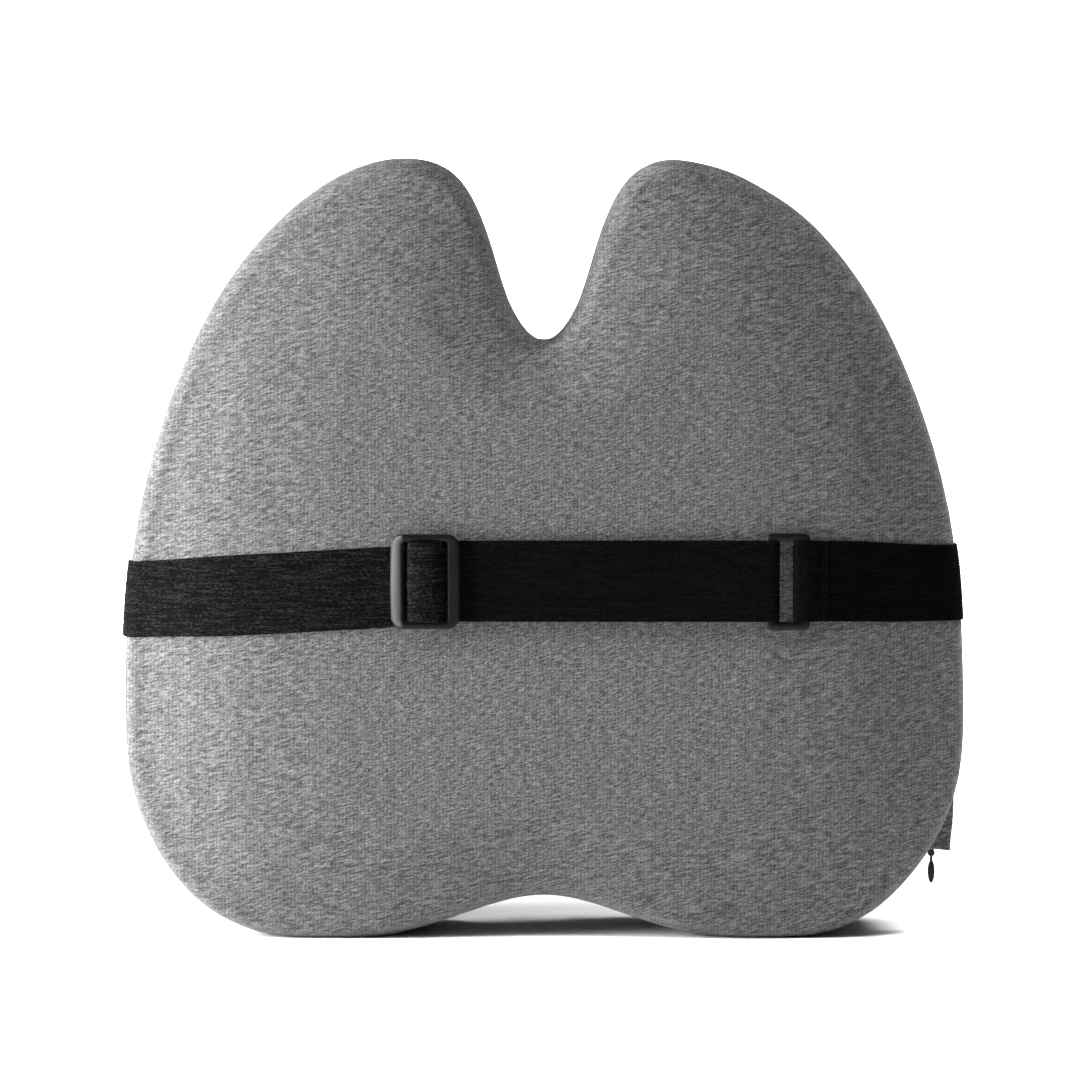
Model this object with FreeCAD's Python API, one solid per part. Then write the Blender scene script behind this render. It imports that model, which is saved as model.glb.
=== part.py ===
import FreeCAD, Part
import math
import os
from FreeCAD import Vector

# Lumbar support cushion: a memory foam core in a zipped knit cover, held to a chair back by an
# elastic strap with a sliding adjuster and a loop ring.
# Millimetres. +Z is up, +X runs along the strap, -Y is the side that faces the chair, +Y the sitter.
# The origin is at the middle of the cushion's width, on the surface that it stands on.

os.makedirs("parts", exist_ok=True)

# cushion body
BACK_Y = -52.0          # flat middle of the side that faces the chair
FLAT_HALF = 145.0       # half width of that flat middle
CROWN_RADIUS = 130.0    # rounding of the back towards both sides
BACK_FILLET = 24.0
FRONT_FILLET = 18.0
CHANNEL_DEPTH = 20.0    # groove for the spine down the front
CHANNEL_WIDTH = 45.0
WING_FALL = 9.0         # how much the front falls away at the sides
HALF_WIDTH = 210.7
SEAM_Y = -14.0          # plane of the seam between the two cover panels
SEAM_GAP = 0.3          # between the two panels, where the seam thread draws them together

# right half of the outline, from the top notch round to the bottom notch
OUTLINE = [(0, 298.5), (11.5, 306.5), (21.5, 330.5), (33.5, 366), (47, 383.2), (68.5, 389),
           (105, 378.5), (136.5, 354), (164.5, 318), (187, 270), (201.4, 222), (209.3, 173.5),
           (HALF_WIDTH, 117), (204.7, 66), (184.5, 30), (157.5, 7.5), (122, -2.4), (84, -1.2),
           (47, 8), (0, 19.5)]

# thickness of the cushion against height: fullest a third of the way up, thin at the top
THICKNESS = [(-10, 90), (60, 106), (110, 112), (180, 101), (250, 82), (320, 65), (400, 52)]

# layers, each given by how far its two faces lie inside the outer surface, with room between them
COVER_INNER = 0.75
LINER_OUTER = 1.9
LINER_INNER = 2.1
FOAM_OUTER = 3.25

# zip along the lower right side
ZIP_Y = -6.5
POCKET_X = 187.3
POCKET_HALF = 5.65
POCKET_LOW = 35.8
POCKET_HIGH = 208.8
POCKET_SPARE = 0.9      # more room round the zip in the foam and the liner than in the cover
TRACK_LOW = 40.8
TRACK_HIGH = 203.8
COIL_X = 190.5
COIL_DEEP = 1.7
COIL_NEAR = 0.75
COIL_FAR = 2.6
TAPE_NEAR = 2.2
TAPE_THICK = 0.5
TAPE_EDGE = 203.3
FOLD_NEAR = 2.8
FOLD_FAR = 5.6
FOLD_WALL = 0.9
FOLD_X = 194.5
SLIDER_LENGTH = 8.0
SLIDER_LOW = 41.1
PIVOT_X = 195.8
PIVOT_Z = 38.8
PIN_RADIUS = 0.5
EYE_HOLE = 0.56
EYE_RADIUS = 1.8
PULL_LENGTH = 15.2
PULL_HALF = 1.75
PULL_THICK = 1.0

# elastic strap and its two plastic parts
STRAP_WIDTH = 40.0
STRAP_LOW = 159.8
STRAP_THICK = 1.3
GAP = 0.3
BAR_HEIGHT = 46.8       # outer size of both plastic parts across the strap
SLOT_LENGTH = 40.8
BAR_THICK = 3.2
GLIDE_LEFT = -75.2
GLIDE_RIGHT = -42.0
GLIDE_BACK = -57.1
GLIDE_BAR = 5.4
MID_BAR_LEFT = -60.8
MID_BAR_WIDTH = 5.0
MID_BAR_THICK = 1.8
RING_LEFT = 110.0
RING_RIGHT = 131.0
RING_BACK = -53.9
RING_BAR = 4.8
FOLD_END_X = 141.3      # where the folded end of the right strap stops
LEFT_DROP = 4.2         # degrees that the left end of the strap runs downwards
LEFT_FLAT = 147.5       # half width at which the left end starts to bend, clear of the cover


def save(shape, node):
    """Writes one sub-part."""
    shape.exportStep("parts/" + node + ".step")


def box(low_x, high_x, low_y, high_y, low_z, high_z):
    """Box between six planes."""
    size = (high_x - low_x, high_y - low_y, high_z - low_z)
    return Part.makeBox(size[0], size[1], size[2], Vector(low_x, low_y, low_z))


# ---- cushion body ----

def spline(points, closed):
    """Smooth curve through points."""
    curve = Part.BSplineCurve()
    curve.interpolate(points, PeriodicFlag=closed)
    return curve


def outline_wire(inset):
    """Closed outline of the cushion, moved inwards by inset."""
    points = [Vector(x, 0, z) for x, z in OUTLINE]
    points += [Vector(-x, 0, z) for x, z in OUTLINE[-2:0:-1]]
    curve = spline(points, True)
    moved = []
    for point in points:
        tangent = curve.tangent(curve.parameter(point))[0]
        moved.append(point + Vector(tangent.z, 0, -tangent.x) * inset)
    return Part.Wire(spline(moved, True).toShape())


def thickness_at(height):
    """Thickness of the cushion at one height."""
    curve = spline([Vector(0, thick, z) for z, thick in THICKNESS], False)
    level = Part.Plane(Vector(0, 0, height), Vector(0, 0, 1))
    hit = curve.intersect(level)[0][0]
    return hit.Y


def front_block(inset):
    """Everything behind the shaped front surface: lumbar bulge, spine groove and falling sides."""
    rows = []
    heights = [-10 + step * 410 / 13 for step in range(14)]
    levels = [BACK_Y + thickness_at(z) - inset for z in heights]
    for step in range(-11, 12):
        x = step * 22.0
        groove = CHANNEL_DEPTH * math.exp(-(x / CHANNEL_WIDTH) ** 2)
        fall = WING_FALL * (abs(x) / HALF_WIDTH) ** 4
        rows.append([Vector(x, y - groove - fall, z) for y, z in zip(levels, heights)])
    surface = Part.BSplineSurface()
    surface.interpolate(rows)
    return surface.toShape().extrude(Vector(0, -400, 0))


def back_profile(inset):
    """Flat back with rounded sides, seen from above."""
    radius = CROWN_RADIUS - inset
    centre_y = BACK_Y + CROWN_RADIUS
    far_x = 240.0
    far_y = centre_y - math.sqrt(radius ** 2 - (far_x - FLAT_HALF) ** 2)
    half_turn = math.asin((far_x - FLAT_HALF) / radius) / 2

    def corner(side):
        start = Vector(side * FLAT_HALF, centre_y - radius, 0)
        middle_x = side * (FLAT_HALF + radius * math.sin(half_turn))
        middle = Vector(middle_x, centre_y - radius * math.cos(half_turn), 0)
        return Part.Arc(start, middle, Vector(side * far_x, far_y, 0)).toShape()

    flat = Part.makeLine(Vector(-FLAT_HALF, centre_y - radius, 0), Vector(FLAT_HALF, centre_y - radius, 0))
    right = Part.makeLine(Vector(far_x, far_y, 0), Vector(far_x, 190, 0))
    front = Part.makeLine(Vector(far_x, 190, 0), Vector(-far_x, 190, 0))
    left = Part.makeLine(Vector(-far_x, 190, 0), Vector(-far_x, far_y, 0))
    return Part.Face(Part.Wire([flat, corner(1), right, front, left, corner(-1)]))


def on_back(point, inset):
    """True on the back surface."""
    radius = CROWN_RADIUS - inset
    centre_y = BACK_Y + CROWN_RADIUS
    if abs(point.x) <= FLAT_HALF:
        return abs(point.y - centre_y + radius) < 0.05
    return abs(math.hypot(abs(point.x) - FLAT_HALF, point.y - centre_y) - radius) < 0.05


def on_line_between(edge):
    """True on the straight line where the flat back meets its rounded side."""
    return all(abs(abs(point.x) - FLAT_HALF) < 0.01 for point in edge.discretize(5))


def cushion_solid(inset):
    """The whole cushion shape, every face moved inwards by inset."""
    wire = outline_wire(inset)
    wire.translate(Vector(0, -150, 0))
    prism = Part.Face(wire).extrude(Vector(0, 300, 0))
    profile = back_profile(inset)
    profile.translate(Vector(0, 0, -50))
    solid = prism.common(profile.extrude(Vector(0, 0, 500))).common(front_block(inset)).Solids[0]
    backs = [edge for edge in solid.Edges if all(on_back(p, inset) for p in edge.discretize(5))]
    backs = [edge for edge in backs if not on_line_between(edge)]
    solid = solid.makeFillet(BACK_FILLET - inset, backs)
    front = max(solid.Faces, key=lambda face: face.CenterOfMass.y)
    solid = solid.makeFillet(FRONT_FILLET - inset, front.OuterWire.Edges)
    return solid.common(box(-300, 300, -200, 200, inset, 500)).Solids[0]


def pocket(spare=0.0):
    """Groove in the right side that the zip lies in, with spare room on every side."""
    half = POCKET_HALF + spare
    return box(POCKET_X - spare, 230, ZIP_Y - half, ZIP_Y + half, POCKET_LOW - spare, POCKET_HIGH + spare)


def build_body():
    """Foam core, liner and the two cover panels."""
    wide_groove = pocket(POCKET_SPARE)
    foam = cushion_solid(FOAM_OUTER).cut(wide_groove)
    save(foam, "foam_core")
    liner = cushion_solid(LINER_OUTER).cut(cushion_solid(LINER_INNER)).cut(wide_groove)
    save(liner, "inner_liner")
    cover = cushion_solid(0.0).cut(cushion_solid(COVER_INNER)).cut(pocket())
    save(cover.common(box(-300, 300, -200, SEAM_Y, -10, 500)), "cover_back_panel")
    save(cover.common(box(-300, 300, SEAM_Y + SEAM_GAP, 200, -10, 500)), "cover_front_panel")


# ---- zip ----

def fold_outline():
    """Side view of one turned-in cover edge beside the zip: straight where the cushion curves away."""
    corners = [(POCKET_X + 0.5, 42.3), (FOLD_X, 42.0), (203.5, 40.6), (205.1, 65), (205.9, 95),
               (205.9, 175), (199.3, 206.8), (POCKET_X + 0.5, 206.8)]
    return Part.makePolygon([Vector(x, 0, z) for x, z in corners + corners[:1]])


def zip_fold(side):
    """Cover edge folded over the zip tape, on the back side (-1) or the front side (1)."""
    near, far = sorted([ZIP_Y + side * FOLD_NEAR, ZIP_Y + side * FOLD_FAR])
    plate = Part.Face(fold_outline()).extrude(Vector(0, far - near, 0))
    plate.translate(Vector(0, near, 0))
    room_near, room_far = sorted([ZIP_Y, ZIP_Y + side * (FOLD_FAR - FOLD_WALL)])
    room = box(POCKET_X - 1, FOLD_X, room_near, room_far, 30, 230)
    return plate.cut(room)


def zip_tape(side):
    """Woven tape from the coil out into the fold."""
    near, far = sorted([ZIP_Y + side * TAPE_NEAR, ZIP_Y + side * (TAPE_NEAR + TAPE_THICK)])
    return box(COIL_X + COIL_DEEP + 0.1, TAPE_EDGE, near, far, TRACK_LOW + 0.2, TRACK_HIGH)


def zip_coil(side):
    """One row of the coil, as a rounded bar."""
    near, far = sorted([ZIP_Y + side * COIL_NEAR, ZIP_Y + side * COIL_FAR])
    bar = box(COIL_X, COIL_X + COIL_DEEP, near, far, TRACK_LOW, TRACK_HIGH)
    return bar.makeFillet(0.4, [edge for edge in bar.Edges if edge.Length > 50])


def zip_stop(low, high):
    """Moulded stop across both rows of the coil."""
    block = box(COIL_X - 0.2, COIL_X + COIL_DEEP, ZIP_Y - COIL_FAR, ZIP_Y + COIL_FAR, low, high)
    return block.makeFillet(0.4, block.Edges)


def zip_slider():
    """Channel that rides round the coil, with a fork and a pin for the pull."""
    low = SLIDER_LOW
    high = SLIDER_LOW + SLIDER_LENGTH
    inner = COIL_X - 2.8
    floor = box(inner, inner + 1.4, ZIP_Y - 4.0, ZIP_Y + 4.0, low, high)
    walls = [box(inner, COIL_X + 3.4, ZIP_Y + y, ZIP_Y + y + 0.9, low, high) for y in (-4.0, 3.1)]
    web = box(inner + 1.4, COIL_X + 3.8, ZIP_Y - 0.4, ZIP_Y + 0.4, low, high - 1)
    bridge = box(COIL_X + 2.3, COIL_X + 4.0, ZIP_Y - 1.4, ZIP_Y + 1.4, low + 0.3, low + 4.5)
    body = floor.fuse(walls + [web, bridge])
    for y in (-1.4, 0.8):
        ear = Part.makeCylinder(1.4, 0.6, Vector(PIVOT_X, ZIP_Y + y, PIVOT_Z), Vector(0, 1, 0))
        arm = box(COIL_X + 3.4, PIVOT_X + 1.2, ZIP_Y + y, ZIP_Y + y + 0.6, PIVOT_Z, low + 4.5)
        body = body.fuse([ear, arm])
    pin = Part.makeCylinder(PIN_RADIUS, 2.8, Vector(PIVOT_X, ZIP_Y - 1.4, PIVOT_Z), Vector(0, 1, 0))
    return body.fuse(pin).removeSplitter()


def zip_pull():
    """Drop-shaped pull hanging from the slider's pin."""
    low_y = ZIP_Y - PULL_THICK / 2
    eye = Part.makeCylinder(EYE_RADIUS, PULL_THICK, Vector(PIVOT_X, low_y, PIVOT_Z), Vector(0, 1, 0))
    neck = box(PIVOT_X - 0.7, PIVOT_X + 0.7, low_y, low_y + PULL_THICK, PIVOT_Z - 6, PIVOT_Z - 1)
    top = PIVOT_Z - 4.0
    tip = PIVOT_Z - PULL_LENGTH
    centre = Vector(PIVOT_X, low_y, (top + tip) / 2)
    drop = Part.Ellipse(centre + Vector(0, 0, (top - tip) / 2), centre + Vector(PULL_HALF, 0, 0), centre)
    blade = Part.Face(Part.Wire(drop.toShape())).extrude(Vector(0, PULL_THICK, 0))
    hole = Part.makeCylinder(EYE_HOLE, 5, Vector(PIVOT_X, ZIP_Y - 2.5, PIVOT_Z), Vector(0, 1, 0))
    return eye.fuse([neck, blade]).removeSplitter().cut(hole)


def build_zip():
    """The folded cover edges and every piece of the zip between them."""
    for side, name in ((-1, "back"), (1, "front")):
        save(zip_fold(side), "zip_fold_" + name)
        save(zip_tape(side), "zip_tape_" + name)
        save(zip_coil(side), "zip_coil_" + name)
    save(zip_stop(TRACK_LOW - 2.2, TRACK_LOW - 0.05), "zip_bottom_stop")
    save(zip_stop(TRACK_HIGH + 0.05, TRACK_HIGH + 2.2), "zip_top_stop")
    save(zip_slider(), "zip_slider")
    save(zip_pull(), "zip_pull")


# ---- strap ----

def strap_band(edges):
    """Strip of strap along a path in the XY plane."""
    loop = Part.Wire(edges).makeOffset2D(STRAP_THICK / 2, 0, False, False, True)
    band = Part.Face(loop).extrude(Vector(0, 0, STRAP_WIDTH))
    band.translate(Vector(0, 0, STRAP_LOW))
    return band


def straight_path(points):
    """Edges from point to point."""
    corners = [Vector(x, y, 0) for x, y in points]
    return [Part.makeLine(start, end) for start, end in zip(corners, corners[1:])]


def side_path(side, clear, flat):
    """Path from the flat back round to the seam on one side, clear outside the widest point."""
    stand_off = GAP + STRAP_THICK / 2
    wall_x = HALF_WIDTH + clear
    centre_y = BACK_Y + CROWN_RADIUS
    corner_x = wall_x - BACK_FILLET
    reach = CROWN_RADIUS - BACK_FILLET
    across = corner_x - flat
    corner_y = centre_y - math.sqrt(reach ** 2 - across ** 2)
    turn = math.asin(across / reach)
    big = CROWN_RADIUS + stand_off
    small = BACK_FILLET + stand_off

    def on_big(angle):
        return Vector(side * (flat + big * math.sin(angle)), centre_y - big * math.cos(angle), 0)

    def on_small(angle):
        return Vector(side * (corner_x + small * math.sin(angle)), corner_y - small * math.cos(angle), 0)

    mean = (turn + math.pi / 2) / 2
    crown = Part.Arc(on_big(0), on_big(turn / 2), on_big(turn)).toShape()
    bend = Part.Arc(on_small(turn), on_small(mean), on_small(math.pi / 2)).toShape()
    wall = Part.makeLine(on_small(math.pi / 2), Vector(side * (corner_x + small), SEAM_Y - 1, 0))
    return [crown, bend, wall]


def layer(number):
    """Middle of the first, second or third strap layer out from the cover."""
    return BACK_Y - GAP - STRAP_THICK / 2 - (number - 1) * (STRAP_THICK + GAP)


def left_run():
    """Strap from the left seam to the adjuster, running slightly downwards to the left."""
    middle = GLIDE_LEFT - 2
    path = straight_path([(middle, layer(1)), (-LEFT_FLAT, layer(1))])
    band = strap_band(path + side_path(-1, 2.0, LEFT_FLAT))
    band.rotate(Vector(middle, 0, STRAP_LOW + STRAP_WIDTH / 2), Vector(0, 1, 0), -LEFT_DROP)
    return band


def main_strap():
    """One strap: left seam, over the adjuster's middle bar, through the ring and back to that bar."""
    over_ring = RING_BACK - BAR_THICK - GAP - STRAP_THICK / 2
    ring_turn = RING_LEFT + RING_BAR + GAP + STRAP_THICK / 2
    mid_right = MID_BAR_LEFT + MID_BAR_WIDTH
    beside = GAP + STRAP_THICK / 2
    middle = GLIDE_BACK - BAR_THICK / 2
    loop_top = middle - MID_BAR_THICK / 2 - beside
    top = loop_top - STRAP_THICK - GAP
    path = straight_path([
        (GLIDE_LEFT - 4, layer(1)), (-70.5, layer(1)), (-64.2, top), (-52.6, top), (-48.6, layer(3)),
        (-40, layer(3)), (RING_LEFT - 1.5, over_ring), (ring_turn, over_ring), (ring_turn, layer(1)),
        (-30, layer(1)), (-36, layer(2)), (-50.5, layer(2)), (mid_right + beside, GLIDE_BACK - 0.5),
        (mid_right + beside, loop_top), (MID_BAR_LEFT - beside, loop_top),
        (MID_BAR_LEFT - beside, layer(2) - 0.3), (-59.8, layer(1)), (-38.6, layer(1))])
    return strap_band(path).fuse(left_run()).removeSplitter()


def right_strap():
    """Short strap from the right seam, folded round the ring's right bar and sewn down."""
    over_ring = RING_BACK - BAR_THICK - GAP - STRAP_THICK / 2
    ring_turn = RING_RIGHT - RING_BAR - GAP - STRAP_THICK / 2
    path = straight_path([
        (FOLD_END_X - STRAP_THICK / 2, layer(2)), (RING_RIGHT + 4.5, layer(2)), (RING_RIGHT + 0.6, over_ring),
        (ring_turn, over_ring), (ring_turn, layer(1)), (FLAT_HALF, layer(1))])
    return strap_band(path + side_path(1, 0.0, FLAT_HALF))


def plastic_frame(left, right, back, bar):
    """Rounded plastic frame with one window across the strap."""
    low = STRAP_LOW + STRAP_WIDTH / 2 - BAR_HEIGHT / 2
    frame = box(left, right, back - BAR_THICK, back, low, low + BAR_HEIGHT)
    frame = frame.makeFillet(4.0, upright(frame, left, right))
    slot_low = STRAP_LOW + STRAP_WIDTH / 2 - SLOT_LENGTH / 2
    window = box(left + bar, right - bar, back - 10, back + 5, slot_low, slot_low + SLOT_LENGTH)
    window = window.makeFillet(1.0, upright(window, left + bar, right - bar))
    frame = frame.cut(window)
    rims = [edge for edge in frame.Edges if abs(edge.CenterOfMass.y - back + BAR_THICK) < 0.01]
    return frame.makeFillet(0.8, rims)


def upright(solid, left, right):
    """The four edges of a box that run through its thickness."""
    return [edge for edge in solid.Edges
            if abs(edge.tangentAt(edge.FirstParameter).y) > 0.99
            and min(abs(edge.CenterOfMass.x - left), abs(edge.CenterOfMass.x - right)) < 0.01]


def tri_glide():
    """Sliding adjuster: a frame with a recessed middle bar."""
    frame = plastic_frame(GLIDE_LEFT, GLIDE_RIGHT, GLIDE_BACK, GLIDE_BAR)
    half = SLOT_LENGTH / 2 + 0.5
    middle_z = STRAP_LOW + STRAP_WIDTH / 2
    front = GLIDE_BACK - BAR_THICK / 2 - MID_BAR_THICK / 2
    bar = box(MID_BAR_LEFT, MID_BAR_LEFT + MID_BAR_WIDTH, front, front + MID_BAR_THICK,
              middle_z - half, middle_z + half)
    return frame.fuse(bar).removeSplitter()


def stitch_rows(x_places, outer_y, rows, pitch):
    """Rows of short thread stitches lying on a strap, one row per X place, as one group."""
    stitches = []
    low = STRAP_LOW + STRAP_WIDTH / 2 - (rows - 1) * pitch / 2
    for x in x_places:
        for step in range(rows):
            z = low + step * pitch
            stitches.append(box(x - 0.25, x + 0.25, outer_y - 0.2, outer_y - 0.02, z - 1.0, z + 1.0))
    return Part.makeCompound(stitches)


def build_strap():
    """Both straps, the adjuster, the ring and the sewing that holds the folded ends."""
    save(main_strap(), "strap_main")
    save(right_strap(), "strap_right")
    save(tri_glide(), "tri_glide")
    save(plastic_frame(RING_LEFT, RING_RIGHT, RING_BACK, RING_BAR), "strap_ring")
    fold_face = layer(2) - STRAP_THICK / 2
    save(stitch_rows([FOLD_END_X - 1.8, FOLD_END_X - 3.4], fold_face, 12, 3.0), "ring_fold_stitches")
    back_face = layer(2) - STRAP_THICK / 2
    save(stitch_rows([-39.6, -41.2], back_face, 12, 3.0), "glide_fold_stitches")


build_body()
build_zip()
build_strap()
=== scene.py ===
import bpy
import bmesh
import math
import numpy as np
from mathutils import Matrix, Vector
from mathutils.bvhtree import BVHTree


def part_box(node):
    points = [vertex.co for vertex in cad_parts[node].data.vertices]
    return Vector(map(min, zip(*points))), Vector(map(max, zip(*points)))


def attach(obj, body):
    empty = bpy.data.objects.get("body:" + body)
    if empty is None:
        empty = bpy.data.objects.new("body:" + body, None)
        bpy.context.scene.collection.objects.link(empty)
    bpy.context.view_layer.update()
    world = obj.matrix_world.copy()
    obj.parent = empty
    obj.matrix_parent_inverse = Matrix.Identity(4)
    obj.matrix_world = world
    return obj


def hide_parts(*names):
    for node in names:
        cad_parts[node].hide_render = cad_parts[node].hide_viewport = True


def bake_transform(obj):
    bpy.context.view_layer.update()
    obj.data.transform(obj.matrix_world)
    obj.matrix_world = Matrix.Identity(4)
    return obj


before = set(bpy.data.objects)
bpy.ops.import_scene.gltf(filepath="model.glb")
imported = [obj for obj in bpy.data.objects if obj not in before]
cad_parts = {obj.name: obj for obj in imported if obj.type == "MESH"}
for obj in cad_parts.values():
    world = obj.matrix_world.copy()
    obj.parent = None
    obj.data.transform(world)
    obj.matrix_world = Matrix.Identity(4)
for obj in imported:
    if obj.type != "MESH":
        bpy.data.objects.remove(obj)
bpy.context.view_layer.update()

MM = 0.001
ROOT = "cushion"
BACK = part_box("cover_back_panel")[0][1]        # y of the flat back
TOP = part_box("cover_back_panel")[1][2]
SEAM_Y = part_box("cover_back_panel")[1][1]      # y of the seam between the cover panels
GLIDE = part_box("tri_glide")
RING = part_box("strap_ring")
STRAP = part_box("strap_right")
STRAP_MID = (STRAP[0][2] + STRAP[1][2]) / 2
STRAP_HALF = (STRAP[1][2] - STRAP[0][2]) / 2
STRAP_THICK = 1.3 * MM
GAP = 0.3 * MM
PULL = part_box("zip_pull")
ZIP_Y = (PULL[0][1] + PULL[1][1]) / 2


# ---------------------------------------------------------------- helpers

def new_object(name, verts, faces, smooth=True):
    mesh = bpy.data.meshes.new(name)
    mesh.from_pydata([tuple(map(float, v)) for v in verts], [], faces)
    mesh.validate()
    mesh.update()
    obj = bpy.data.objects.new(name, mesh)
    bpy.context.scene.collection.objects.link(obj)
    if smooth:
        mesh.polygons.foreach_set("use_smooth", [True] * len(mesh.polygons))
    return obj


def points_of(obj):
    data = np.empty(len(obj.data.vertices) * 3)
    obj.data.vertices.foreach_get("co", data)
    return data.reshape(-1, 3)


def set_points(obj, points):
    obj.data.vertices.foreach_set("co", points.reshape(-1))
    obj.data.update()


def normals_of(obj):
    data = np.empty(len(obj.data.vertices) * 3)
    obj.data.vertices.foreach_get("normal", data)
    return data.reshape(-1, 3)


def apply_modifiers(obj):
    bpy.context.view_layer.update()
    graph = bpy.context.evaluated_depsgraph_get()
    mesh = bpy.data.meshes.new_from_object(obj.evaluated_get(graph))
    old = obj.data
    obj.modifiers.clear()
    obj.data = mesh
    bpy.data.meshes.remove(old)
    mesh.polygons.foreach_set("use_smooth", [True] * len(mesh.polygons))
    return obj


def smoothstep(value, low, high):
    t = np.clip((value - low) / (high - low), 0.0, 1.0)
    return t * t * (3 - 2 * t)


# ---------------------------------------------------------------- materials

def material(name):
    mat = bpy.data.materials.new(name)
    mat.use_nodes = True
    tree = mat.node_tree
    tree.nodes.clear()
    out = tree.nodes.new("ShaderNodeOutputMaterial")
    shader = tree.nodes.new("ShaderNodeBsdfPrincipled")
    tree.links.new(shader.outputs[0], out.inputs[0])
    return mat, tree, shader


def node(tree, kind, **values):
    item = tree.nodes.new(kind)
    for key, value in values.items():
        if key in item.inputs:
            item.inputs[key].default_value = value
        else:
            setattr(item, key, value)
    return item


def mapped(tree, scale, rise=0.0):
    """Object coordinates, scaled; with a rise, the X axis of the pattern climbs to the right by that angle."""
    place = tree.nodes.new("ShaderNodeTexCoord")
    mapping = tree.nodes.new("ShaderNodeMapping")
    mapping.vector_type = "TEXTURE"
    mapping.inputs["Scale"].default_value = [1 / value for value in scale]
    mapping.inputs["Rotation"].default_value = (0, -rise, 0)
    tree.links.new(place.outputs["Object"], mapping.inputs["Vector"])
    return mapping.outputs["Vector"]


def noise(tree, vector, scale, detail=2.0, rough=0.5):
    item = node(tree, "ShaderNodeTexNoise", Scale=scale, Detail=detail, Roughness=rough)
    tree.links.new(vector, item.inputs["Vector"])
    return item.outputs["Fac"]


def ramp(tree, value, stops):
    item = tree.nodes.new("ShaderNodeValToRGB")
    tree.links.new(value, item.inputs["Fac"])
    while len(item.color_ramp.elements) < len(stops):
        item.color_ramp.elements.new(0.5)
    for element, (place, colour) in zip(item.color_ramp.elements, stops):
        element.position = place
        element.color = colour
    return item.outputs["Color"]


def grey(value, warm=0.0):
    return (value * (1 + warm), value, value * (1 - warm), 1.0)


def yarn(value):
    """Cool grey of the cover's yarn."""
    return (value * 0.985, value, value * 1.03, 1.0)


def maths(tree, kind, one, two=None):
    item = tree.nodes.new("ShaderNodeMath")
    item.operation = kind
    for slot, value in zip(item.inputs, (one, two)):
        if value is None:
            continue
        if isinstance(value, (int, float)):
            slot.default_value = value
        else:
            tree.links.new(value, slot)
    return item.outputs[0]


def bump(tree, shader, height, strength, distance):
    item = node(tree, "ShaderNodeBump", Strength=strength, Distance=distance)
    tree.links.new(height, item.inputs["Height"])
    tree.links.new(item.outputs["Normal"], shader.inputs["Normal"])


def knit_material(name):
    """Heather jersey: grey yarn flecked darker and lighter along the courses, with fine wales."""
    mat, tree, shader = material(name)
    tilt = math.radians(14)
    long_flecks = noise(tree, mapped(tree, (230, 230, 1250), tilt), 1.0, 2.0, 0.6)
    short_flecks = noise(tree, mapped(tree, (620, 620, 1900), tilt), 1.0, 2.0, 0.6)
    grains = noise(tree, mapped(tree, (1700, 1700, 1700)), 1.0, 1.0, 0.5)
    wales = node(tree, "ShaderNodeTexWave", Scale=1.0, Distortion=2.2, Detail=2.0)
    wales.inputs["Detail Scale"].default_value = 1.5
    wales.bands_direction = "X"
    tree.links.new(mapped(tree, (170, 170, 170)), wales.inputs["Vector"])
    mix = maths(tree, "ADD", maths(tree, "MULTIPLY", long_flecks, 0.44), maths(tree, "MULTIPLY", short_flecks, 0.26))
    mix = maths(tree, "ADD", mix, maths(tree, "MULTIPLY", grains, 0.27))
    mix = maths(tree, "ADD", mix, maths(tree, "MULTIPLY", wales.outputs["Fac"], 0.03))
    colour = ramp(tree, mix, [(0.36, yarn(0.009)), (0.44, yarn(0.025)), (0.49, yarn(0.045)),
                              (0.54, yarn(0.067)), (0.62, yarn(0.11))])
    tree.links.new(colour, shader.inputs["Base Color"])
    shader.inputs["Roughness"].default_value = 0.92
    shader.inputs["Specular IOR Level"].default_value = 0.2
    shader.inputs["Sheen Weight"].default_value = 0.07
    shader.inputs["Sheen Roughness"].default_value = 0.5
    height = maths(tree, "ADD", maths(tree, "MULTIPLY", wales.outputs["Fac"], 0.2), maths(tree, "MULTIPLY", grains, 0.8))
    height = maths(tree, "ADD", height, maths(tree, "MULTIPLY", long_flecks, 0.5))
    bump(tree, shader, height, 0.4, 0.0004)
    return mat


KNIT = knit_material("cover_knit")


# ---------------------------------------------------------------- camera, light, floor

def aim(obj, target):
    direction = Vector(target) - obj.location
    obj.rotation_euler = direction.to_track_quat("-Z", "Y").to_euler()


def see_through(tree, shader):
    """Leaves out the back of a backdrop, so that the object can be seen from behind it."""
    out = next(item for item in tree.nodes if item.type == "OUTPUT_MATERIAL")
    side = tree.nodes.new("ShaderNodeNewGeometry")
    clear = tree.nodes.new("ShaderNodeBsdfTransparent")
    mix = tree.nodes.new("ShaderNodeMixShader")
    tree.links.new(side.outputs["Backfacing"], mix.inputs[0])
    tree.links.new(shader.outputs[0], mix.inputs[1])
    tree.links.new(clear.outputs[0], mix.inputs[2])
    tree.links.new(mix.outputs[0], out.inputs["Surface"])


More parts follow.
